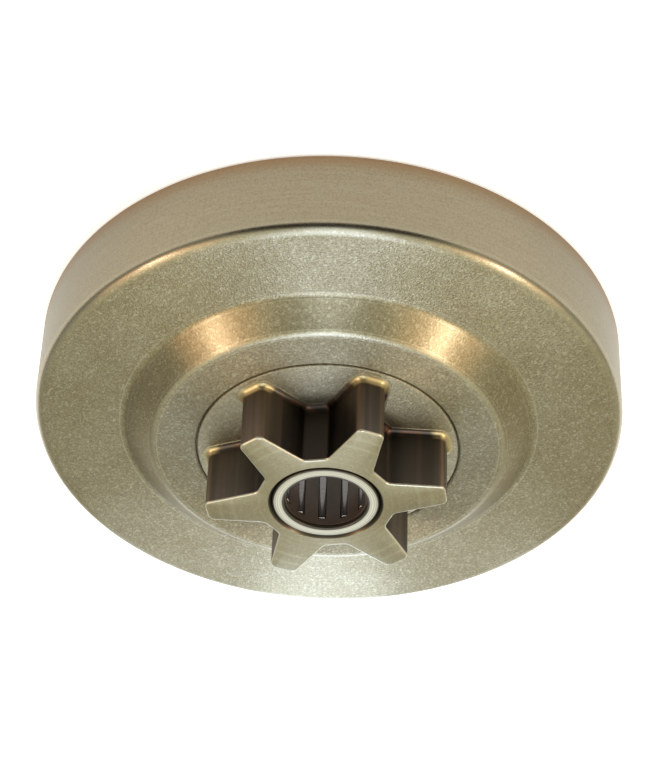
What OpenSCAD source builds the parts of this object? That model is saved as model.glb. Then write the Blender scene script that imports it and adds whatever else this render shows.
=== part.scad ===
// Chain saw clutch drum: a pressed steel cup, a six-tooth spur sprocket set into its plate,
// and a drawn-cup needle bearing pressed into the sprocket.
// The cup's open mouth is at Z = 0, and the sprocket points up along +Z.

/* [Drum cup] */
// Outside diameter of the drum wall, which the brake band grips
drum_d = 78; // [66:0.5:100]
// Thickness of the drum wall
wall_t = 2; // [1.4:0.1:3]
// Height of the outer face above the mouth
rim_h = 12.8; // [10:0.1:20]
// Thickness of the pressed plate
plate_t = 2.2; // [1.6:0.1:3]
// Outside radius between the wall and the face
shoulder_r = 1.5; // [0.5:0.1:2.5]
// Inside radius between the wall and the plate
root_r = 1; // [0.4:0.1:2]
// Chamfer on both edges of the mouth
mouth_chamfer = 0.4; // [0.2:0.05:0.6]
// How far the middle of the plate is raised over the outer face
step_h = 3.4; // [2.4:0.1:5]
// Radial run of the slope between the two levels
step_run = 3.9; // [3.2:0.1:7]
// Bend radius at the foot and at the top of the slope
bend_r = 1.25; // [0.5:0.05:1.6]
// Width of the raised flat land round the sprocket
land_w = 5.75; // [3.5:0.05:8]

/* [Sprocket] */
// Number of teeth
tooth_count = 6; // [5:1:8]
// Diameter over the tooth tips
tip_d = 31.5; // [26:0.1:38]
// Width of a tooth at its tip
tip_w = 3.5; // [2.5:0.1:4.5]
// Radius of the two corners of a tooth tip
tip_round = 1; // [0.35:0.05:1.2]
// Width of the flat between two teeth
gap_flat = 3; // [2:0.1:3.6]
// Radius where the flat between the teeth turns into a flank
gap_round = 1; // [0.5:0.05:1.4]
// Wall between the bearing's bore and the flat between two teeth
hub_wall = 2; // [1.4:0.1:3]
// Length of the teeth above the raised land
tooth_l = 8.8; // [6:0.1:14]
// Fillet where the teeth grow out of the flange
flare_r = 0.8; // [0.3:0.05:1.2]
// Rounding of the edges of the teeth's end face
end_round = 0.25; // [0.1:0.05:0.3]
// How far the whole sprocket is turned about its axis
sprocket_turn = 9.5; // [0:0.5:60]

/* [Sprocket seat] */
// How far the round flange reaches past the tooth tips
flange_margin = 1.5; // [1.2:0.05:3]
// Depth of the flange's seat in the plate
seat_depth = 1; // [0.6:0.1:1.2]
// Width of the narrow groove left round the flange
seam_w = 0.25; // [0.1:0.05:0.5]
// Chamfer on both edges of that groove
seam_chamfer = 0.2; // [0.1:0.05:0.3]
// Width of the ledge in the plate that carries the flange
ledge_w = 2.25; // [1.6:0.05:3.5]
// How far the spigot stands out inside the cup
spigot_proud = 0.4; // [0.2:0.1:1]

/* [Needle bearing] */
// Diameter of the shaft that the drum runs on
shaft_d = 10; // [8:0.1:12]
// Diameter of a needle
needle_d = 1.4; // [1.1:0.05:1.7]
// Number of needles
needle_count = 11; // [9:1:12]
// Angle of the first needle, as seen from the sprocket's end
needle_phase = 19.7; // [0:0.1:40]
// Length of the drawn cup
bearing_l = 10; // [8:0.5:11]
// Wall of the drawn cup
cup_wall = 0.53; // [0.4:0.01:1]
// Thickness of the two lips that close the cup's ends
lip_t = 0.5; // [0.3:0.05:0.8]
// Gap between the shaft and a lip
lip_gap = 0.35; // [0.25:0.05:0.6]
// Outside corner radius of the drawn cup
cup_round = 0.25; // [0.2:0.05:0.5]
// How deep the bearing sits below the sprocket's end face
bearing_inset = 0.05; // [0:0.05:1]
// Lead chamfer on both ends of the sprocket's bore
bore_chamfer = 0.4; // [0.2:0.05:0.6]
// Height of the plain ring at each end of the needle cage
cage_ring = 0.8; // [0.5:0.05:1.2]

/* [Running clearances] */
// Radial play between the shaft and the needles
shaft_play = 0.02; // [0.01:0.01:0.05]
// Radial play between the needles and the cup
race_play = 0.05; // [0.02:0.01:0.08]
// Play round a needle in its pocket
pocket_play = 0.06; // [0.03:0.01:0.1]
// How far the cage stays clear of the shaft
cage_in_gap = 0.2; // [0.1:0.05:0.3]
// How far the cage stays clear of the cup's wall
cage_out_gap = 0.17; // [0.1:0.01:0.25]
// End play of the cage between the lips, and of a needle in its pocket
end_play = 0.1; // [0.05:0.05:0.2]

/* [Hidden] */
$fn = 128;
eps = 0.01;

// Needle bearing, from the shaft outwards
needle_r = needle_d / 2;
orbit_r = shaft_d / 2 + shaft_play + needle_r;
race_r = orbit_r + needle_r + race_play;
bearing_r = race_r + cup_wall;
lip_r = shaft_d / 2 + lip_gap;
cage_in_r = shaft_d / 2 + cage_in_gap;
cage_out_r = race_r - cage_out_gap;
pocket_r = needle_r + pocket_play;
needle_step = 360 / needle_count;

// Sprocket, round the bearing
tip_r = tip_d / 2;
gap_r = bearing_r + hub_wall;
flange_r = tip_r + flange_margin;
tooth_step = 360 / tooth_count;
flare = min(flare_r, gap_round - 0.1);
foot_edge = 0.05;
arc_steps = 4;

// Drum cup, round the sprocket
drum_r = drum_d / 2;
inside_r = drum_r - wall_t;
seat_r = flange_r + seam_w;
spigot_r = flange_r - ledge_w;
land_r = seat_r + land_w;
foot_r = land_r + step_run;
slope = atan(step_h / step_run);
inner_shift = plate_t * tan(slope / 2);

// Heights
land_z = rim_h + step_h;
face_z = land_z + tooth_l;
seat_z = land_z - seat_depth;
bearing_z = face_z - bearing_inset - bearing_l;
hub_back_z = min(land_z - plate_t - spigot_proud, bearing_z - bearing_inset);
cage_z = bearing_z + lip_t + end_play;
cage_l = bearing_l - 2 * (lip_t + end_play);
needle_z = cage_z + cage_ring + end_play;
needle_l = cage_l - 2 * (cage_ring + end_play);

function needle_name(i) = str("needle_", i < 9 ? "0" : "", i + 1);

// Geometry of a rounded corner at b, between the edges to a and to c
function unit(v) = v / norm(v);
function half_angle(a, b, c) = acos(unit(a - b) * unit(c - b)) / 2;
function arc_centre(a, b, c, r) = b + unit(unit(a - b) + unit(c - b)) * r / sin(half_angle(a, b, c));
function arc_reach(a, b, c, r) = r / tan(half_angle(a, b, c));
function turns_left(a, b, c) = cross(b - a, c - b) > 0;
function next(list, i) = list[(i + 1) % len(list)];
function previous(list, i) = list[(i + len(list) - 1) % len(list)];

// What lies between a sharp corner and its rounding arc
module corner_sliver(a, b, c, r) {
    reach = arc_reach(a, b, c, r);
    difference() {
        polygon([b, b + unit(a - b) * reach, b + unit(c - b) * reach]);
        translate(arc_centre(a, b, c, r)) circle(r);
    }
}

// A section of [x, y, corner radius] points, anticlockwise, with true arcs at its corners
module rounded_section(corners) {
    points = [for (c = corners) [c.x, c.y]];
    last = len(points) - 1;
    difference() {
        union() {
            polygon(points);
            for (i = [0:last])
                if (corners[i].z > 0 && !turns_left(previous(points, i), points[i], next(points, i)))
                    corner_sliver(previous(points, i), points[i], next(points, i), corners[i].z);
        }
        for (i = [0:last])
            if (corners[i].z > 0 && turns_left(previous(points, i), points[i], next(points, i)))
                corner_sliver(previous(points, i), points[i], next(points, i), corners[i].z);
    }
}

// The pressed cup: drum wall, outer face, slope, raised land and the stepped seat of the sprocket
module drum_cup() {
    color([0.58, 0.56, 0.46])
        rotate_extrude()
            rounded_section([
                [inside_r + mouth_chamfer, 0, 0],
                [drum_r - mouth_chamfer, 0, 0],
                [drum_r, mouth_chamfer, 0],
                [drum_r, rim_h, shoulder_r],
                [foot_r, rim_h, bend_r],
                [land_r, land_z, bend_r],
                [seat_r + seam_chamfer, land_z, 0],
                [seat_r, land_z - seam_chamfer, 0],
                [seat_r, seat_z, 0],
                [spigot_r, seat_z, 0],
                [spigot_r, land_z - plate_t, 0],
                [land_r - inner_shift, land_z - plate_t, bend_r],
                [foot_r - inner_shift, rim_h - plate_t, bend_r],
                [inside_r, rim_h - plate_t, root_r],
                [inside_r, mouth_chamfer, 0]
            ]);
}

// Corners of one tooth, pointing along angle a, from one gap flat to the other
function tooth_corners(a) = [
    for (side = [-1, 1])
        let (
            gap_a = a + side * tooth_step / 2,
            foot = [gap_r, -side * gap_flat / 2, gap_round],
            tip = [tip_r, side * tip_w / 2, tip_round],
            pair = side < 0 ? [[foot, gap_a], [tip, a]] : [[tip, a], [foot, gap_a]]
        )
        for (p = pair)
            let (x = p[0].x, y = p[0].y, t = p[1])
            [x * cos(t) - y * sin(t), x * sin(t) + y * cos(t), p[0].z]
];

// Points along the rounding arc at b, from the side of a to the side of c
function arc_points(a, b, c, r) =
    let (
        centre = arc_centre(a, b, c, r),
        reach = arc_reach(a, b, c, r),
        from = b + unit(a - b) * reach - centre,
        to = b + unit(c - b) * reach - centre,
        sweep = atan2(cross(from, to), from * to)
    )
    [for (i = [0:arc_steps])
        let (t = sweep * i / arc_steps)
        centre + [from.x * cos(t) - from.y * sin(t), from.x * sin(t) + from.y * cos(t)]];

// Outline of all teeth, with rounded tips and roots
function sprocket_outline() =
    let (
        corners = [for (k = [0:tooth_count - 1]) each tooth_corners(sprocket_turn + k * tooth_step)],
        points = [for (c = corners) [c.x, c.y]]
    )
    [for (i = [0:len(points) - 1])
        each arc_points(previous(points, i), points[i], next(points, i), corners[i].z)];

// The same outline with every edge moved outwards by d
function outward(p, q) = let (e = unit(q - p)) [e.y, -e.x];
function grown(points, d) = [
    for (i = [0:len(points) - 1])
        let (
            before = outward(previous(points, i), points[i]),
            after = outward(points[i], next(points, i))
        )
        points[i] + (before + after) * d / (1 + before * after)
];

// Levels of the toothed body as [height, growth]: foot fillet, straight flanks, rounded end edge
tooth_levels = concat(
    [[land_z - seat_depth / 2, flare]],
    [for (i = [0:arc_steps])
        let (t = 90 * i / arc_steps)
        [land_z + foot_edge + flare * (1 - cos(t)), flare * (1 - sin(t))]],
    [for (i = [0:2])
        let (t = 45 * i)
        [face_z - end_round * (1 - sin(t)), -end_round * (1 - cos(t))]]
);

// The toothed body, one ring of points a level, with its two ends fanned from the axis
module toothed_body() {
    outline = sprocket_outline();
    n = len(outline);
    last = len(tooth_levels) - 1;
    rings = [for (level = tooth_levels) for (p = grown(outline, level[1])) [p.x, p.y, level[0]]];
    centres = [[0, 0, tooth_levels[0][0]], [0, 0, tooth_levels[last][0]]];
    sides = [for (k = [0:last - 1]) for (i = [0:n - 1])
        [k * n + i, (k + 1) * n + i, (k + 1) * n + (i + 1) % n, k * n + (i + 1) % n]];
    floor_fan = [for (i = [0:n - 1]) [len(rings), i, (i + 1) % n]];
    end_fan = [for (i = [0:n - 1]) [len(rings) + 1, last * n + (i + 1) % n, last * n + i]];
    polyhedron(concat(rings, centres), concat(floor_fan, end_fan, sides), convexity = 8);
}

// The sintered sprocket: teeth, round flange, spigot through the plate, and the bearing's bore
module sprocket() {
    color([0.60, 0.58, 0.48])
        difference() {
            union() {
                toothed_body();
                rotate_extrude()
                    polygon([
                        [0, hub_back_z],
                        [spigot_r - bore_chamfer, hub_back_z],
                        [spigot_r, hub_back_z + bore_chamfer],
                        [spigot_r, seat_z],
                        [flange_r, seat_z],
                        [flange_r, land_z - seam_chamfer],
                        [flange_r - seam_chamfer, land_z],
                        [0, land_z]
                    ]);
            }
            rotate_extrude()
                polygon([
                    [0, hub_back_z - eps],
                    [bearing_r + bore_chamfer + eps, hub_back_z - eps],
                    [bearing_r, hub_back_z + bore_chamfer],
                    [bearing_r, face_z - bore_chamfer],
                    [bearing_r + bore_chamfer + eps, face_z + eps],
                    [0, face_z + eps]
                ]);
        }
}

// The bearing's drawn steel cup, with a lip turned in at each end
module bearing_cup() {
    color([0.80, 0.79, 0.72])
        translate([0, 0, bearing_z])
            rotate_extrude()
                rounded_section([
                    [lip_r, 0, lip_t / 2],
                    [bearing_r, 0, cup_round],
                    [bearing_r, bearing_l, cup_round],
                    [lip_r, bearing_l, lip_t / 2],
                    [lip_r, bearing_l - lip_t, 0],
                    [race_r, bearing_l - lip_t, 0],
                    [race_r, lip_t, 0],
                    [lip_r, lip_t, 0]
                ]);
}

// The cage: a thin sleeve with one round-backed pocket for each needle
module needle_cage() {
    color([0.22, 0.18, 0.15])
        difference() {
            translate([0, 0, cage_z])
                rotate_extrude()
                    translate([cage_in_r, 0])
                        square([cage_out_r - cage_in_r, cage_l]);
            for (i = [0:needle_count - 1])
                rotate(needle_phase + i * needle_step)
                    translate([orbit_r, 0, cage_z + cage_ring])
                        cylinder(r = pocket_r, h = cage_l - 2 * cage_ring);
        }
}

// One needle, with rounded ends, in its place round the shaft
module needle(i) {
    end_r = needle_r / 3;
    color([0.62, 0.62, 0.60])
        rotate(needle_phase + i * needle_step)
            translate([orbit_r, 0, needle_z])
                rotate_extrude($fn = 32)
                    rounded_section([
                        [0, 0, 0],
                        [needle_r, 0, end_r],
                        [needle_r, needle_l, end_r],
                        [0, needle_l, 0]
                    ]);
}

drum_cup();
sprocket();
bearing_cup();
needle_cage();
for (i = [0:needle_count - 1])
    needle(i);
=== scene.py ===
import math

import bmesh
import bpy
from mathutils import Matrix, Vector


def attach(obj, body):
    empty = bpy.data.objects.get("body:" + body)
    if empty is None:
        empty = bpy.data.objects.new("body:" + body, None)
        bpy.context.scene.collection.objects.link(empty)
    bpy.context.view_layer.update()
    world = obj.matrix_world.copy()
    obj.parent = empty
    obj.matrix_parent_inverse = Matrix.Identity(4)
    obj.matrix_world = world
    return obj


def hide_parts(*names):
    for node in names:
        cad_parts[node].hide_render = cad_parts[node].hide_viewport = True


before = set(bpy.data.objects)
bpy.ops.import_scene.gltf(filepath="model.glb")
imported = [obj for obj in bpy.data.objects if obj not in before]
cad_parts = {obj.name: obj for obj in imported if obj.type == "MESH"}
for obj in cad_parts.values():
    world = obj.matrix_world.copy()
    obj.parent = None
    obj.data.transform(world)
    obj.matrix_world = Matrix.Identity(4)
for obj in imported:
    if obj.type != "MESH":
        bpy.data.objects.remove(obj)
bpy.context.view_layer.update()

MM = 0.001

# Sizes of the part in millimetres, as in its CAD model
DRUM_R = 39.0
INSIDE_R = 37.0
RIM_H = 12.8
PLATE_T = 2.2
SHOULDER_R = 1.5
ROOT_R = 1.0
MOUTH_CHAMFER = 0.4
LAND_Z = 16.2
FOOT_R = 27.15
LAND_R = 23.25
BEND_R = 1.25
SEAT_R = 17.5
SEAT_Z = 15.2
SEAM_CHAMFER = 0.2
FLANGE_R = 17.25
SPIGOT_R = 15.0
HUB_BACK_Z = 13.6
FACE_Z = 25.0
BORE_CHAMFER = 0.4
GROOVE = 0.5
TOOTH_COUNT = 6
TIP_R = 15.75
TIP_W = 3.5
TIP_ROUND = 1.0
GAP_R = 9.0
GAP_FLAT = 3.0
GAP_ROUND = 1.0
FLARE_R = 0.8
FOOT_EDGE = 0.05
END_ROUND = 0.25
SPROCKET_TURN = 9.5
BEARING_R = 7.0
BEARING_Z = 14.95
BEARING_L = 10.0
RACE_R = 6.47
LIP_R = 5.35
LIP_T = 0.5
CUP_ROUND = 0.25
NEEDLE_COUNT = 11
NEEDLE_PHASE = 19.7
NEEDLE_R = 0.7
NEEDLE_Z = 16.45
NEEDLE_L = 7.0
ORBIT_R = 5.72

# Slope of the step, and how far its inner side is shifted by the plate's thickness
SLOPE = math.atan2(LAND_Z - RIM_H, FOOT_R - LAND_R)
INNER_SHIFT = PLATE_T * math.tan(SLOPE / 2)


def linear(hex_colour):
    """Linear colour of an sRGB hex value, with alpha 1."""
    parts = [int(hex_colour[i:i + 2], 16) / 255 for i in (1, 3, 5)]
    return [c / 12.92 if c <= 0.04045 else ((c + 0.055) / 1.055) ** 2.4 for c in parts] + [1.0]


def per_mm(size):
    """Texture scale of a pattern whose features are this many millimetres across."""
    return 1 / (size * MM)


def add(tree, kind, inputs=None, **settings):
    """Adds a node with its settings; an input is a value, or a socket to link from."""
    node = tree.nodes.new(kind)
    for name, value in settings.items():
        setattr(node, name, value)
    for key, value in (inputs or {}).items():
        if isinstance(value, bpy.types.NodeSocket):
            tree.links.new(value, node.inputs[key])
        else:
            node.inputs[key].default_value = value
    return node


# Sections


def rounded(corners, steps=6):
    """Points of a closed section with arcs at its corners, each as (r, z, edge): edge is 1 on an outer arc."""
    points = []
    for i, (x, y, radius) in enumerate(corners):
        here = Vector((x, y))
        back = (Vector(corners[i - 1][:2]) - here).normalized()
        ahead = (Vector(corners[(i + 1) % len(corners)][:2]) - here).normalized()
        convex = back.x * ahead.y - back.y * ahead.x < 0
        if not radius:
            points.append((x, y, 1.0 if convex else 0.0))
            continue
        half = back.angle(ahead) / 2
        centre = here + (back + ahead).normalized() * radius / math.sin(half)
        start = here + back * radius / math.tan(half) - centre
        end = here + ahead * radius / math.tan(half) - centre
        sweep = math.atan2(start.x * end.y - start.y * end.x, start.dot(end))
        for k in range(steps + 1):
            a = sweep * k / steps
            p = centre + Vector((start.x * math.cos(a) - start.y * math.sin(a), start.x * math.sin(a) + start.y * math.cos(a)))
            points.append((p.x, p.y, math.sin(math.pi * k / steps) if convex else 0.0))
    return points


def with_attribute(mesh, values):
    """Gives a mesh its "edge" attribute, which the materials read for worn edges and painted edge highlights."""
    layer = mesh.attributes.new("edge", "FLOAT", "POINT")
    layer.data.foreach_set("value", values)
    return mesh


# Geometry trees


def new_tree(name, inputs):
    """An empty geometry tree with a Shape input, the named inputs, and a Shape output."""
    tree = bpy.data.node_groups.new(name, "GeometryNodeTree")
    tree.interface.new_socket("Shape", in_out="INPUT", socket_type="NodeSocketGeometry")
    for label, kind in inputs.items():
        tree.interface.new_socket(label, in_out="INPUT", socket_type=kind)
    tree.interface.new_socket("Shape", in_out="OUTPUT", socket_type="NodeSocketGeometry")
    return tree, add(tree, "NodeGroupInput"), add(tree, "NodeGroupOutput")


def turning_tree():
    """Turns a section about Z. The section lies in XY, with X from the middle radius and Y down."""
    tree, given, result = new_tree(
        "turned_section",
        {"Middle radius": "NodeSocketFloat", "Steps round": "NodeSocketInt", "Finish": "NodeSocketMaterial"},
    )
    path = add(tree, "GeometryNodeCurvePrimitiveCircle", {"Resolution": given.outputs["Steps round"], "Radius": given.outputs["Middle radius"]})
    upright = add(tree, "GeometryNodeSetCurveNormal", {"Curve": path.outputs["Curve"]}, mode="Z_UP")
    section = add(tree, "GeometryNodeMeshToCurve", {"Mesh": given.outputs["Shape"]})
    skin = add(tree, "GeometryNodeCurveToMesh", {"Curve": upright.outputs["Curve"], "Profile Curve": section.outputs["Curve"]})
    closed = add(tree, "GeometryNodeMergeByDistance", {"Geometry": skin.outputs["Mesh"], "Distance": 1e-7})
    whole = add(tree, "GeometryNodeRealizeInstances", {"Geometry": closed.outputs["Geometry"]})
    finish = add(tree, "GeometryNodeSetMaterial", {"Geometry": whole.outputs["Geometry"], "Material": given.outputs["Finish"]})
    tree.links.new(finish.outputs["Geometry"], result.inputs["Shape"])
    return tree


def ring_tree():
    """Sets equal sectors side by side round Z until they close."""
    tree, given, result = new_tree("ring_of_sectors", {"Sectors": "NodeSocketInt", "Finish": "NodeSocketMaterial"})
    places = add(tree, "GeometryNodeMeshLine", {"Count": given.outputs["Sectors"], "Offset": (0, 0, 0)})
    index = add(tree, "GeometryNodeInputIndex")
    share = add(tree, "ShaderNodeMath", {0: math.tau, 1: given.outputs["Sectors"]}, operation="DIVIDE")
    angle = add(tree, "ShaderNodeMath", {0: index.outputs["Index"], 1: share.outputs["Value"]}, operation="MULTIPLY")
    turn = add(tree, "ShaderNodeCombineXYZ", {"Z": angle.outputs["Value"]})
    copies = add(
        tree,
        "GeometryNodeInstanceOnPoints",
        {"Points": places.outputs["Mesh"], "Instance": given.outputs["Shape"], "Rotation": turn.outputs["Vector"]},
    )
    whole = add(tree, "GeometryNodeRealizeInstances", {"Geometry": copies.outputs["Instances"]})
    closed = add(tree, "GeometryNodeMergeByDistance", {"Geometry": whole.outputs["Geometry"], "Distance": 1e-6})
    finish = add(tree, "GeometryNodeSetMaterial", {"Geometry": closed.outputs["Geometry"], "Material": given.outputs["Finish"]})
    tree.links.new(finish.outputs["Geometry"], result.inputs["Shape"])
    return tree


def through_tree(name, mesh, tree, values, sharp=32):
    """The plain mesh that a tree makes of a mesh, as a new object at the origin."""
    maker = bpy.data.objects.new(name + "_maker", mesh)
    bpy.context.scene.collection.objects.link(maker)
    modifier = maker.modifiers.new("tree", "NODES")
    modifier.node_group = tree
    sockets = {s.name: s.identifier for s in tree.interface.items_tree if s.in_out == "INPUT"}
    for label, value in values.items():
        modifier[sockets[label]] = value
    shape = bpy.data.meshes.new_from_object(maker.evaluated_get(bpy.context.evaluated_depsgraph_get()))
    bpy.data.objects.remove(maker)
    return finished(name, shape, sharp)


def finished(name, mesh, sharp=32):
    """Makes a piece of a mesh: faces pointing outwards and smooth, with sharp edges past an angle in degrees."""
    mesh.name = name
    shell = bmesh.new()
    shell.from_mesh(mesh)
    bmesh.ops.recalc_face_normals(shell, faces=shell.faces)
    shell.to_mesh(mesh)
    shell.free()
    mesh.shade_smooth()
    mesh.set_sharp_from_angle(angle=math.radians(sharp))
    piece = bpy.data.objects.new(name, mesh)
    bpy.context.scene.collection.objects.link(piece)
    return piece


TURNING = turning_tree()
RING = ring_tree()
MIDDLE_R = 10.0


def turned(name, section, finish, steps=360, closed=True, sharp=32):
    """A turned piece from section points (r, z, edge) in millimetres, taken clockwise."""
    flat = bpy.data.meshes.new(name + "_section")
    count = len(section)
    links = [(i, (i + 1) % count) for i in range(count if closed else count - 1)]
    flat.from_pydata([((r - MIDDLE_R) * MM, -z * MM, 0) for r, z, edge in section], links, [])
    with_attribute(flat, [edge for r, z, edge in section])
    values = {"Middle radius": MIDDLE_R * MM, "Steps round": steps, "Finish": finish}
    return through_tree(name, flat, TURNING, values, sharp)


# Finishes


def surface(name):
    """A new material: its tree, shader and object coordinates."""
    material = bpy.data.materials.new(name)
    material.use_nodes = True
    tree = material.node_tree
    tree.nodes.clear()
    shader = add(tree, "ShaderNodeBsdfPrincipled")
    add(tree, "ShaderNodeOutputMaterial", {"Surface": shader.outputs["BSDF"]})
    place = add(tree, "ShaderNodeTexCoord").outputs["Object"]
    return material, tree, shader, place


def between(tree, value, low, high, to_low=0.0, to_high=1.0):
    """A value taken from one range to another, smoothly at both ends."""
    node = add(
        tree,
        "ShaderNodeMapRange",
        {"Value": value, "From Min": low, "From Max": high, "To Min": to_low, "To Max": to_high},
        interpolation_type="SMOOTHSTEP",
    )
    return node.outputs["Result"]


def mixed(tree, factor, a, b):
    """Colour a where the factor is 0, and b where it is 1."""
    node = add(tree, "ShaderNodeMix", {"Factor": factor, 6: a, 7: b}, data_type="RGBA")
    return node.outputs[2]


def times(tree, a, b):
    return add(tree, "ShaderNodeMath", {0: a, 1: b}, operation="MULTIPLY").outputs["Value"]


def plus(tree, a, b):
    return add(tree, "ShaderNodeMath", {0: a, 1: b}, operation="ADD").outputs["Value"]


def cylinder_place(tree, place):
    """Radius and height of a point, in metres."""
    parts = add(tree, "ShaderNodeSeparateXYZ", {"Vector": place})
    flat = add(tree, "ShaderNodeCombineXYZ", {"X": parts.outputs["X"], "Y": parts.outputs["Y"]})
    radius = add(tree, "ShaderNodeVectorMath", {0: flat.outputs["Vector"]}, operation="LENGTH")
    return radius.outputs["Value"], parts.outputs["Z"]


def noise(tree, vector, size, detail=2.0, rough=0.5):
    """Noise with features of this many millimetres."""
    node = add(tree, "ShaderNodeTexNoise", {"Vector": vector, "Scale": per_mm(size), "Detail": detail, "Roughness": rough})
    return node.outputs["Fac"]


def stretched(tree, place, x, y, z):
    """Object coordinates stretched, to draw lines along one direction."""
    return add(tree, "ShaderNodeMapping", {"Vector": place, "Scale": (x, y, z)}).outputs["Vector"]


def round_axis(tree, place):
    """Direction of the marks that a spin leaves, round the Z axis."""
    across = add(tree, "ShaderNodeVectorMath", {0: (0.0, 0.0, 1.0), 1: place}, operation="CROSS_PRODUCT")
    return add(tree, "ShaderNodeVectorMath", {0: across.outputs["Vector"]}, operation="NORMALIZE").outputs["Vector"]


def edge_wear_and_sheen(tree):
    return add(tree, "ShaderNodeAttribute", attribute_name="edge", attribute_type="GEOMETRY").outputs["Fac"]


def blasted(tree, place, strength=1.0):
    """A bead-blasted face: its colour, roughness and relief. The strength scales the grain's contrast.
    Blast dents are about 0.1 mm, drawn two or three times as wide so that they show."""
    dents = add(tree, "ShaderNodeTexVoronoi", {"Vector": place, "Scale": per_mm(0.26)})
    grain = noise(tree, place, 0.24, 2.0, 0.7)
    cloud = noise(tree, place, 9.0, 3.0)
    colour = mixed(tree, between(tree, cloud, 0.35, 0.7), linear("#A1977B"), linear("#ABA288"))
    # Painted shade: the colour darkens in the grain's hollows, where the relief is low
    shaded_hollow = between(tree, grain, 0.60, 0.36, 0.0, 0.45)
    colour = mixed(tree, times(tree, shaded_hollow, strength), colour, linear("#5F5844"))
    # Painted glints: pale specks in the colour stand in for sparkle off the blast dents
    painted_sparkle = between(tree, dents.outputs["Color"], 0.60, 0.95)
    colour = mixed(tree, times(tree, painted_sparkle, times(tree, strength, 0.38)), colour, linear("#DAD4BC"))
    rough = plus(tree, times(tree, grain, 0.14), 0.24)
    bumps = plus(tree, times(tree, dents.outputs["Distance"], 0.016 * MM), times(tree, grain, 0.026 * MM))
    relief = times(tree, bumps, strength)
    return colour, rough, relief


def ring_lines(tree, radius, size):
    """Fine lines round the axis, this many millimetres apart, as a value from 0 to 1."""
    node = add(
        tree,
        "ShaderNodeTexNoise",
        {"W": radius, "Scale": per_mm(size), "Detail": 3.0, "Roughness": 0.7},
        noise_dimensions="1D",
    )
    return node.outputs["Fac"]


def steel_shader(tree, shader, place, colour, rough, relief, spun, wear_and_sheen):
    """Sets up a steel: spun says how far fine marks round the axis stretch its reflections across them."""
    # Convex edges go paler: partly worn, partly painted highlight
    colour = mixed(tree, times(tree, edge_wear_and_sheen(tree), wear_and_sheen), colour, linear("#DAD5C2"))
    bump = add(tree, "ShaderNodeBump", {"Height": relief, "Distance": 1.0, "Strength": 1.0})
    tree.links.new(colour, shader.inputs["Base Color"])
    tree.links.new(rough, shader.inputs["Roughness"])
    tree.links.new(bump.outputs["Normal"], shader.inputs["Normal"])
    tree.links.new(round_axis(tree, place), shader.inputs["Tangent"])
    shader.inputs["Metallic"].default_value = 1.0
    shader.inputs["Anisotropic"].default_value = spun
    shader.inputs["Anisotropic Rotation"].default_value = 0.25


def chosen(tree, factor, a, b):
    """Value a where the factor is 0, and b where it is 1."""
    return add(tree, "ShaderNodeMix", {"Factor": factor, 2: a, 3: b}).outputs[0]


def drum_steel():
    """Pressed mild steel, spun, bead blasted and thinly plated: a khaki satin with fine sparkle, whose
    reflections stretch away from the middle. The outer wall is turned smoother, with faint lines round it."""
    material, tree, shader, place = surface("blasted_plated_steel")
    radius, height = cylinder_place(tree, place)
    wall = between(tree, radius, 38.2 * MM, 38.8 * MM)
    lines = noise(tree, stretched(tree, place, 0.05, 0.05, 1.0), 0.35, 3.0, 0.7)
    sand = noise(tree, place, 0.28, 2.0, 0.6)
    land = between(tree, radius, 23.0 * MM, 22.2 * MM)
    colour, rough, relief = blasted(tree, place, plus(tree, 1.0, times(tree, land, 0.3)))

    # The press leaves lines round the slope of the step
    slope = times(
        tree,
        between(tree, radius, 22.9 * MM, 23.6 * MM),
        between(tree, radius, 27.4 * MM, 26.8 * MM),
    )
    marks = ring_lines(tree, radius, 0.5)
    pressed = plus(tree, times(tree, relief, 0.35), times(tree, marks, 0.006 * MM))
    relief = chosen(tree, slope, relief, pressed)

    # The land is blasted rougher and paler than the face, and the shoulder is rubbed smooth by handling
    colour = mixed(tree, times(tree, land, 0.12), colour, linear("#CBC7B0"))
    shoulder = between(tree, radius, 37.3 * MM, 37.8 * MM)
    rough = plus(tree, rough, plus(tree, times(tree, land, 0.24), times(tree, shoulder, 0.02)))
    relief = times(tree, relief, plus(tree, 1.0, times(tree, shoulder, -0.6)))

    wall_tone_and_shade = mixed(tree, between(tree, lines, 0.3, 0.7), linear("#8F8671"), linear("#958E7B"))
    wall_tone_and_shade = mixed(tree, between(tree, sand, 0.35, 0.75, 0.0, 0.5), wall_tone_and_shade, linear("#746B56"))
    # Painted shade: the wall turns browner towards the mouth, where it stands on the table
    wall_tone_and_shade = mixed(tree, between(tree, height, 3.5 * MM, 0.0, 0.0, 0.75), wall_tone_and_shade, linear("#87694A"))
    colour = mixed(tree, wall, colour, wall_tone_and_shade)
    rough = chosen(tree, wall, rough, plus(tree, times(tree, lines, 0.08), 0.28))

    # Painted shade: a dark line where the turning of the wall runs out into the shoulder, standing for the dark room it
    # reflects
    painted_dark_line = times(tree, between(tree, height, 11.4 * MM, 11.85 * MM), between(tree, height, 12.6 * MM, 12.2 * MM))
    colour = mixed(tree, times(tree, painted_dark_line, 0.3), colour, linear("#3A3018"))
    rough = chosen(tree, painted_dark_line, rough, 0.20)
    wall_relief = plus(tree, times(tree, lines, 0.002 * MM), times(tree, sand, 0.006 * MM))
    relief = chosen(tree, wall, relief, wall_relief)
    steel_shader(tree, shader, place, colour, rough, relief, 0.85, 0.3)
    return material


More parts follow.
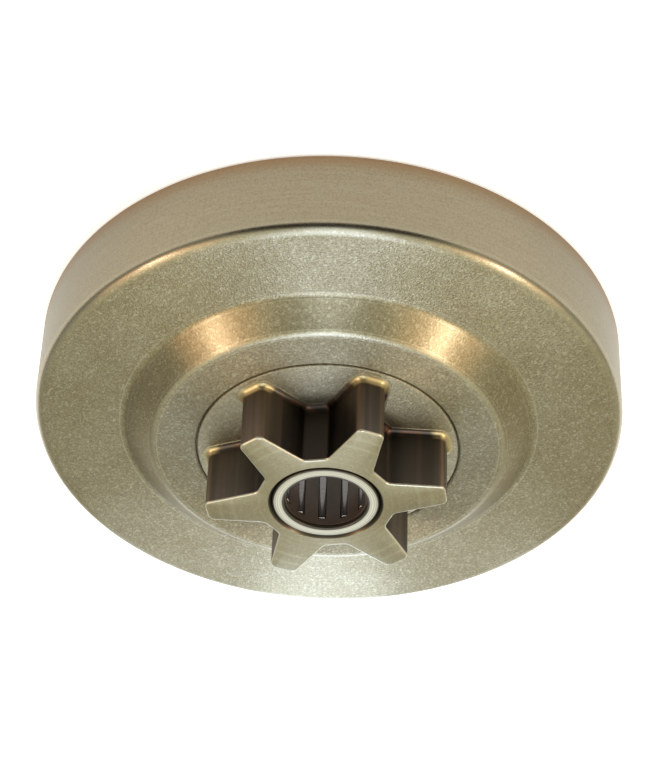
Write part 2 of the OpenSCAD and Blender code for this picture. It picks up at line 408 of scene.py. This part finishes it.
def sprocket_steel():
    """Sintered steel, blasted with the drum: khaki ends, and flanks with drawing lines along them, painted near-black
    for the dark room they reflect.
    """
    material, tree, shader, place = surface("sintered_steel")
    radius, height = cylinder_place(tree, place)
    flank = times(
        tree,
        between(tree, height, 16.21 * MM, 16.32 * MM),
        between(tree, height, 24.95 * MM, 24.8 * MM),
    )
    drawn = noise(tree, stretched(tree, place, 1.0, 1.0, 0.02), 1.1, 2.0, 0.5)
    stain = noise(tree, place, 1.4, 3.0)
    end = between(tree, height, 24.6 * MM, 24.9 * MM)
    colour, rough, relief = blasted(tree, place, between(tree, height, 24.6 * MM, 24.9 * MM, 1.5, 0.4))
    arcs = ring_lines(tree, radius, 0.9)
    colour = mixed(tree, times(tree, end, between(tree, arcs, 0.45, 0.75, 0.0, 0.35)), colour, linear("#B9B698"))
    flange = between(tree, height, 16.4 * MM, 16.25 * MM)
    colour = mixed(tree, times(tree, flange, 0.3), colour, linear("#C9C5B0"))
    # Painted shade: the flange darkens towards the roots of the gaps between the teeth
    colour = mixed(tree, times(tree, flange, between(tree, radius, 12.4 * MM, 10.2 * MM, 0.0, 0.75)), colour, linear("#4A4036"))
    # Painted shade: the flanks are coloured near-black for the dark room they reflect, darker still down into the gaps
    sides = mixed(tree, between(tree, drawn, 0.40, 0.75), linear("#57524D"), linear("#6B6059"))
    sides = mixed(tree, between(tree, radius, 11.5 * MM, 9.5 * MM), sides, linear("#3F3A36"))
    foot = between(tree, height, 17.4 * MM, 16.5 * MM, 0.0, 0.5)
    sides = mixed(tree, times(tree, foot, between(tree, stain, 0.45, 0.65)), sides, linear("#7A5644"))
    # Lighter corners on the flanks: partly worn, partly painted highlight
    sides = mixed(tree, times(tree, edge_wear_and_sheen(tree), 0.8), sides, linear("#8A7463"))
    # Painted highlight: a pale band where the tooth tips meet the flange
    painted_foot_highlight = times(tree, between(tree, radius, 14.0 * MM, 15.0 * MM), between(tree, height, 17.2 * MM, 16.75 * MM))
    sides = mixed(tree, painted_foot_highlight, sides, linear("#CBBA90"))
    colour = mixed(tree, flank, colour, sides)
    rough = chosen(tree, flank, plus(tree, rough, times(tree, flange, 0.20)), plus(tree, times(tree, drawn, 0.10), 0.30))
    relief = chosen(tree, flank, relief, times(tree, drawn, 0.006 * MM))

    # Painted shade: the chamfer round the bearing is darkened, standing for the shade in the gap beside the ring
    painted_gap_shade = between(tree, radius, 7.58 * MM, 7.45 * MM)
    colour = mixed(tree, times(tree, painted_gap_shade, 0.8), colour, linear("#4A443A"))
    # The ends' lighter edges are partly worn and partly painted highlight
    steel_shader(tree, shader, place, colour, rough, relief, 0.6, times(tree, end, 0.9))
    return material


def bearing_steel():
    """Drawn and hardened strip steel: pale and smooth, with faint lines round the lip."""
    material, tree, shader, place = surface("drawn_bearing_steel")
    radius, height = cylinder_place(tree, place)
    rings = add(tree, "ShaderNodeTexNoise", {"W": radius, "Scale": per_mm(0.25), "Detail": 2.0}, noise_dimensions="1D").outputs["Fac"]
    tone = mixed(tree, between(tree, rings, 0.3, 0.7), linear("#BBB5A2"), linear("#DFDAC9"))
    # Painted shade: the ring darkens at its lip's inner edge and at its outer rounding, beside the gaps
    inner = between(tree, radius, 5.85 * MM, 5.64 * MM)
    outer = between(tree, radius, 6.70 * MM, 6.82 * MM)
    tone = mixed(tree, times(tree, plus(tree, inner, outer), 0.9), tone, linear("#38332C"))
    tree.links.new(tone, shader.inputs["Base Color"])
    tree.links.new(plus(tree, times(tree, noise(tree, place, 0.6), 0.14), 0.36), shader.inputs["Roughness"])
    shader.inputs["Metallic"].default_value = 1.0
    bump = add(tree, "ShaderNodeBump", {"Height": times(tree, rings, 0.004 * MM), "Distance": 1.0, "Strength": 1.0})
    tree.links.new(bump.outputs["Normal"], shader.inputs["Normal"])
    return material


def needle_steel():
    """Ground and lapped roller steel: nearly a mirror, with the finest lines round it."""
    material, tree, shader, place = surface("ground_roller_steel")
    lines = noise(tree, stretched(tree, place, 0.1, 0.1, 1.0), 0.15, 2.0)
    tree.links.new(mixed(tree, lines, linear("#7F7C7C"), linear("#9C9A9A")), shader.inputs["Base Color"])
    tree.links.new(plus(tree, times(tree, lines, 0.08), 0.15), shader.inputs["Roughness"])
    shader.inputs["Metallic"].default_value = 1.0
    return material


def cage_nylon():
    """Moulded glass-filled nylon, oiled: dark brown, half gloss, slightly uneven."""
    material, tree, shader, place = surface("glass_filled_nylon")
    flow = noise(tree, place, 1.6, 3.0)
    fibre = noise(tree, place, 0.15, 2.0)
    tree.links.new(mixed(tree, flow, linear("#43372F"), linear("#5A4A3E")), shader.inputs["Base Color"])
    tree.links.new(plus(tree, times(tree, fibre, 0.2), 0.28), shader.inputs["Roughness"])
    shader.inputs["IOR"].default_value = 1.53
    bump = add(tree, "ShaderNodeBump", {"Height": times(tree, fibre, 0.008 * MM), "Distance": 1.0, "Strength": 1.0})
    tree.links.new(bump.outputs["Normal"], shader.inputs["Normal"])
    return material


# Pieces


def press_line(corner, along, distance):
    """Three corners of a fine raised line that a press leaves beside a bend, going along a direction."""
    x, y = corner
    dx, dy = along
    half, rise = 0.10, 0.008
    places = ((distance - half, 0), (distance, rise), (distance + half, 0))
    return [(x + dx * d + abs(dy) * h, y + dy * d + abs(dx) * h, 0) for d, h in places]


def drum(finish):
    """The pressed cup, with small radii on the edges that the CAD model leaves sharp, and fine press lines."""
    reach = BEND_R * math.tan(SLOPE / 2) + 0.15
    inward, up = (-1.0, 0.0), (-math.cos(SLOPE), math.sin(SLOPE))
    foot, land = (FOOT_R, RIM_H), (LAND_R, LAND_Z)
    run = math.hypot(FOOT_R - LAND_R, LAND_Z - RIM_H)
    section = rounded(
        [
            (INSIDE_R + MOUTH_CHAMFER, 0, 0.12),
            (DRUM_R - MOUTH_CHAMFER, 0, 0.12),
            (DRUM_R, MOUTH_CHAMFER, 0.2),
            (DRUM_R, RIM_H, SHOULDER_R),
            *press_line(foot, inward, -reach),
            (FOOT_R, RIM_H, BEND_R),
            *press_line(foot, up, reach),
            *press_line(foot, up, run - reach),
            (LAND_R, LAND_Z, BEND_R),
            *press_line(land, inward, reach),
            (SEAT_R + SEAM_CHAMFER, LAND_Z, 0.08),
            (SEAT_R, LAND_Z - SEAM_CHAMFER, 0.05),
            (SEAT_R, SEAT_Z, 0),
            (SPIGOT_R, SEAT_Z, 0),
            (SPIGOT_R, LAND_Z - PLATE_T, 0.1),
            (LAND_R - INNER_SHIFT, LAND_Z - PLATE_T, BEND_R),
            (FOOT_R - INNER_SHIFT, RIM_H - PLATE_T, BEND_R),
            (INSIDE_R, RIM_H - PLATE_T, ROOT_R),
            (INSIDE_R, MOUTH_CHAMFER, 0.1),
        ],
        steps=8,
    )
    piece = turned("drum_shell", section[::-1], finish, steps=384)
    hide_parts("drum_cup")
    return piece


def tooth_line():
    """Outline of one tooth from gap middle to gap middle: points as (x, y, nx, ny, convex)."""
    half = math.pi / TOOTH_COUNT
    corners = []
    for a, x, y, radius in (
        (-half, GAP_R, 0, 0),
        (-half, GAP_R, GAP_FLAT / 2, GAP_ROUND),
        (0, TIP_R, -TIP_W / 2, TIP_ROUND),
        (0, TIP_R, TIP_W / 2, TIP_ROUND),
        (half, GAP_R, -GAP_FLAT / 2, GAP_ROUND),
        (half, GAP_R, 0, 0),
    ):
        a += math.radians(SPROCKET_TURN)
        corners.append((x * math.cos(a) - y * math.sin(a), x * math.sin(a) + y * math.cos(a), radius))
    line = []
    arc_steps = 8
    for i, (x, y, radius) in enumerate(corners):
        here = Vector((x, y))
        if not radius:
            line.append((here, here.normalized(), 0.0))
            continue
        back = (Vector(corners[i - 1][:2]) - here).normalized()
        ahead = (Vector(corners[i + 1][:2]) - here).normalized()
        convex = back.x * ahead.y - back.y * ahead.x < 0
        half_angle = back.angle(ahead) / 2
        centre = here + (back + ahead).normalized() * radius / math.sin(half_angle)
        start = here + back * radius / math.tan(half_angle) - centre
        end = here + ahead * radius / math.tan(half_angle) - centre
        sweep = math.atan2(start.x * end.y - start.y * end.x, start.dot(end))
        for k in range(arc_steps + 1):
            spoke = start.copy()
            spoke.rotate(Matrix.Rotation(sweep * k / arc_steps, 2))
            line.append((centre + spoke, spoke.normalized() * (1 if convex else -1), math.sin(math.pi * k / arc_steps) if convex else 0.0))
    # Straight stretches are cut short, so that the round flange stays round
    full = []
    for (p, n, edge), (q, m, _) in zip(line, line[1:]):
        parts = max(1, round((q - p).length / 0.45))
        for k in range(parts):
            full.append((p.lerp(q, k / parts), n if k == 0 else n.lerp(m, k / parts).normalized(), edge if k == 0 else 0.0))
    full.append(line[-1])
    return full


def sprocket(finish):
    """Flange, spigot and teeth as one closed skin, made of one tooth's sector set round six times."""
    line = tooth_line()
    rings = []

    def circle(radius, z, edge=0.0):
        rings.append([(p.normalized() * radius, z, edge) for p, n, convex in line])

    def outline(growth, z, edge=0.0, flank=False):
        rings.append([(p + n * growth, z, max(edge, convex * 0.6 if flank else 0.0)) for p, n, convex in line])

    circle(BEARING_R, HUB_BACK_Z + BORE_CHAMFER)
    circle(BEARING_R, FACE_Z - GROOVE)
    circle(BEARING_R + GROOVE - 0.05, FACE_Z - 0.05)
    circle(BEARING_R + GROOVE, FACE_Z)
    for k in range(6):
        a = math.radians(90 - 18 * k)
        outline(-END_ROUND * (1 - math.cos(a)), FACE_Z - END_ROUND * (1 - math.sin(a)), math.sin(2 * a), k > 2)
    for k in range(9):
        a = math.radians(90 - 11.25 * k)
        outline(FLARE_R * (1 - math.sin(a)), LAND_Z + FOOT_EDGE + FLARE_R * (1 - math.cos(a)), 0.0, k == 0)
    outline(FLARE_R + 0.06, LAND_Z)
    for k in range(5):
        a = math.radians(22.5 * k)
        circle(FLANGE_R - SEAM_CHAMFER * (1 - math.sin(a)), LAND_Z - SEAM_CHAMFER * (1 - math.cos(a)), math.sin(2 * a))
    circle(FLANGE_R, SEAT_Z)
    circle(SPIGOT_R, SEAT_Z)
    circle(SPIGOT_R, HUB_BACK_Z + BORE_CHAMFER)
    circle(SPIGOT_R - BORE_CHAMFER, HUB_BACK_Z, 1.0)
    circle(BEARING_R + BORE_CHAMFER, HUB_BACK_Z, 1.0)

    width = len(line)
    points = [(p.x * MM, p.y * MM, z * MM) for ring in rings for p, z, edge in ring]
    faces = []
    for r in range(len(rings)):
        low, high = r * width, (r + 1) % len(rings) * width
        faces += [(low + i, low + i + 1, high + i + 1, high + i) for i in range(width - 1)]
    sector = bpy.data.meshes.new("tooth_sector")
    sector.from_pydata(points, [], faces)
    with_attribute(sector, [edge for ring in rings for p, z, edge in ring])
    piece = through_tree("sprocket_body", sector, RING, {"Sectors": TOOTH_COUNT, "Finish": finish})
    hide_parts("sprocket")
    return piece


def bearing_shell(finish):
    """The bearing's drawn cup, with both lips turned in."""
    top = BEARING_Z + BEARING_L
    section = rounded(
        [
            (LIP_R, BEARING_Z, LIP_T / 2),
            (BEARING_R, BEARING_Z, CUP_ROUND),
            (BEARING_R, top, CUP_ROUND),
            (LIP_R, top, LIP_T / 2),
            (LIP_R, top - LIP_T, 0.1),
            (RACE_R, top - LIP_T, 0.15),
            (RACE_R, BEARING_Z + LIP_T, 0.15),
            (LIP_R, BEARING_Z + LIP_T, 0.1),
        ]
    )
    piece = turned("bearing_shell", section[::-1], finish, steps=192)
    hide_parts("bearing_cup")
    return piece


def needles(finish):
    """Eleven ground needles with rounded ends, each in its own place and on its own body."""
    ends = [(NEEDLE_R - 0.23 + 0.23 * math.sin(math.radians(15 * k)), 0.23 * (1 - math.cos(math.radians(15 * k)))) for k in range(7)]
    side = [(0.0, 0.0)] + ends
    section = [(r, NEEDLE_Z + z, 0.0) for r, z in side] + [(r, NEEDLE_Z + NEEDLE_L - z, 0.0) for r, z in reversed(side)]
    made = []
    for i in range(NEEDLE_COUNT):
        node = f"needle_{i + 1:02d}"
        angle = math.radians(NEEDLE_PHASE + 360 / NEEDLE_COUNT * i)
        piece = turned(f"ground_{node}", section[::-1], finish, steps=40, closed=False)
        piece.data.transform(Matrix.Translation(Vector((math.cos(angle), math.sin(angle), 0)) * ORBIT_R * MM))
        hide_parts(node)
        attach(piece, node)
        made.append(piece)
    return made


def cage(finish):
    """The cage from its CAD node, with its moulded edges rounded."""
    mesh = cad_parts["needle_cage"].data.copy()
    shell = bmesh.new()
    shell.from_mesh(mesh)
    bmesh.ops.remove_doubles(shell, verts=shell.verts, dist=1e-6)
    bmesh.ops.dissolve_limit(shell, angle_limit=math.radians(1), verts=shell.verts, edges=shell.edges)
    shell.to_mesh(mesh)
    shell.free()
    mesh.materials.clear()
    mesh.materials.append(finish)
    piece = finished("moulded_cage", mesh)
    bevel = piece.modifiers.new("moulded_edges", "BEVEL")
    bevel.width = 0.06 * MM
    bevel.segments = 2
    bevel.limit_method = "ANGLE"
    bevel.angle_limit = math.radians(40)
    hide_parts("needle_cage")
    return piece


drum_piece = drum(drum_steel())
sprocket_piece = sprocket(sprocket_steel())
bearing_piece = bearing_shell(bearing_steel())
cage_piece = cage(cage_nylon())
for piece, body, slot in (
    (drum_piece, "drum", "drum_steel"),
    (sprocket_piece, "drum", "sprocket_steel"),
    (bearing_piece, "drum", "bearing_steel"),
    (cage_piece, "cage", "cage_nylon"),
):
    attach(piece, body)
needles(needle_steel())

# Floor, light and camera


def table():
    """A white table that glows, most strongly round the part: a painted pool of light that also washes out its shadows.
    """
    mesh = bpy.data.meshes.new("table")
    mesh.from_pydata([(x, y, -0.00002) for x, y in ((-3, -3), (3, -3), (3, 3), (-3, 3))], [], [(0, 1, 2, 3)])
    material, tree, shader, place = surface("white_table")
    shader.inputs["Base Color"].default_value = linear("#F4F4F2")
    shader.inputs["Roughness"].default_value = 0.9
    shader.inputs["Emission Color"].default_value = linear("#FFFFFF")
    radius, height = cylinder_place(tree, place)
    # Painted light: the table's glow fades away from the part
    tree.links.new(between(tree, radius, 0.06, 0.50, 0.55, 0.15), shader.inputs["Emission Strength"])
    mesh.materials.append(material)
    piece = bpy.data.objects.new("table", mesh)
    bpy.context.scene.collection.objects.link(piece)


def studio():
    """A soft grey room that is dark on the photographer's side, up to well above the camera."""
    world = bpy.data.worlds.new("studio")
    world.use_nodes = True
    tree = world.node_tree
    tree.nodes.clear()
    way = add(tree, "ShaderNodeTexCoord").outputs["Generated"]
    parts = add(tree, "ShaderNodeSeparateXYZ", {"Vector": way})
    side = between(tree, parts.outputs["X"], -0.7, 0.7)
    walls = mixed(tree, side, linear("#C2BDA6"), linear("#A09D90"))
    room = mixed(tree, between(tree, parts.outputs["Z"], 0.35, 0.95), walls, linear("#ECEACD"))
    front = add(tree, "ShaderNodeVectorMath", {0: way, 1: (0.0, -0.985, 0.174)}, operation="DOT_PRODUCT").outputs["Value"]
    room = mixed(tree, between(tree, front, 0.70, 0.88), room, linear("#241F1B"))
    back = add(tree, "ShaderNodeBackground", {"Color": room, "Strength": 1.07})
    add(tree, "ShaderNodeOutputWorld", {"Surface": back.outputs["Background"]})
    bpy.context.scene.world = world


def soft_light(name, azimuth, elevation, width, height, colour, brightness):
    """A soft box seen from the part's middle at these angles, in degrees, 2 m away. Its brightness is its radiance."""
    distance = 2.0
    light = bpy.data.lights.new(name, "AREA")
    light.shape = "RECTANGLE"
    light.size = 2 * distance * math.tan(math.radians(width / 2))
    light.size_y = 2 * distance * math.tan(math.radians(height / 2))
    light.color = linear(colour)[:3]
    light.energy = brightness * math.pi * light.size * light.size_y
    lamp = bpy.data.objects.new(name, light)
    bpy.context.scene.collection.objects.link(lamp)
    a, e = math.radians(azimuth), math.radians(elevation)
    way = Vector((math.cos(a) * math.cos(e), math.sin(a) * math.cos(e), math.sin(e)))
    lamp.location = way * distance
    lamp.rotation_euler = way.to_track_quat("Z", "Y").to_euler()
    lamp.visible_camera = False
    return lamp


def near_card(name, place, size, lean, colour, brightness):
    """A small bright card just behind the drum, leaning back by an angle in degrees."""
    light = bpy.data.lights.new(name, "AREA")
    light.shape = "RECTANGLE"
    light.size, light.size_y = size
    light.color = linear(colour)[:3]
    light.energy = brightness * math.pi * light.size * light.size_y
    lamp = bpy.data.objects.new(name, light)
    bpy.context.scene.collection.objects.link(lamp)
    lamp.location = place
    lamp.rotation_euler = (math.radians(-90 + lean), 0, 0)
    lamp.visible_camera = False
    return lamp


def camera():
    """The photograph's view: near side up in the picture, from a pinhole fit to its outlines."""
    elevation, distance = math.radians(39.54), 0.350
    pitch, yaw, roll = (math.radians(v) for v in (-0.93, 0.0, 180 - 2.04))
    forward = Vector((0, math.cos(elevation), -math.sin(elevation)))
    right = Vector((1, 0, 0))
    up = right.cross(forward)
    for axis, angle in (("up", yaw), ("right", pitch), ("forward", roll)):
        turn = Matrix.Rotation(angle, 3, {"up": up, "right": right, "forward": forward}[axis])
        forward, right, up = turn @ forward, turn @ right, turn @ up
    data = bpy.data.cameras.new("camera")
    data.sensor_fit = "VERTICAL"
    data.sensor_width = data.sensor_height = 24
    data.lens = 24 * 2628.0 / 768
    data.clip_start = 0.01
    eye = bpy.data.objects.new("camera", data)
    place = Matrix((right, up, -forward)).transposed().to_4x4()
    place.translation = Vector((0, -distance * math.cos(elevation), distance * math.sin(elevation) + 0.012))
    eye.matrix_world = place
    bpy.context.scene.collection.objects.link(eye)
    bpy.context.scene.camera = eye


table()
studio()
camera()
soft_light("lamp_left", 199, 43, 8, 8, "#FFF0E2", 19.0)
soft_light("lamp_right", 344, 42, 8, 8, "#FFE8D6", 15.0)
soft_light("glow_left", 199, 43, 34, 34, "#FFCB9A", 1.1)
soft_light("glow_right", 344, 42, 34, 34, "#FFC28C", 1.1)
soft_light("ceiling", 90, 76, 14, 28, "#BFD4FF", 4.6)
soft_light("ceiling_high", 90, 102, 14, 24, "#D6E4FF", 2.6)
soft_light("ceiling_low", 90, 54, 14, 16, "#D9E6FF", 1.3)
soft_light("ceiling_near", 90, 127, 14, 18, "#E4F6FF", 0.8)
near_card("card", (0, 0.078, 0.031), (0.022, 0.050), 15, "#CFE2FF", 2.2)
near_card("card_wide", (0, 0.080, 0.028), (0.090, 0.044), 15, "#CFE2FF", 1.0)
bpy.context.scene.view_settings.view_transform = "Standard"
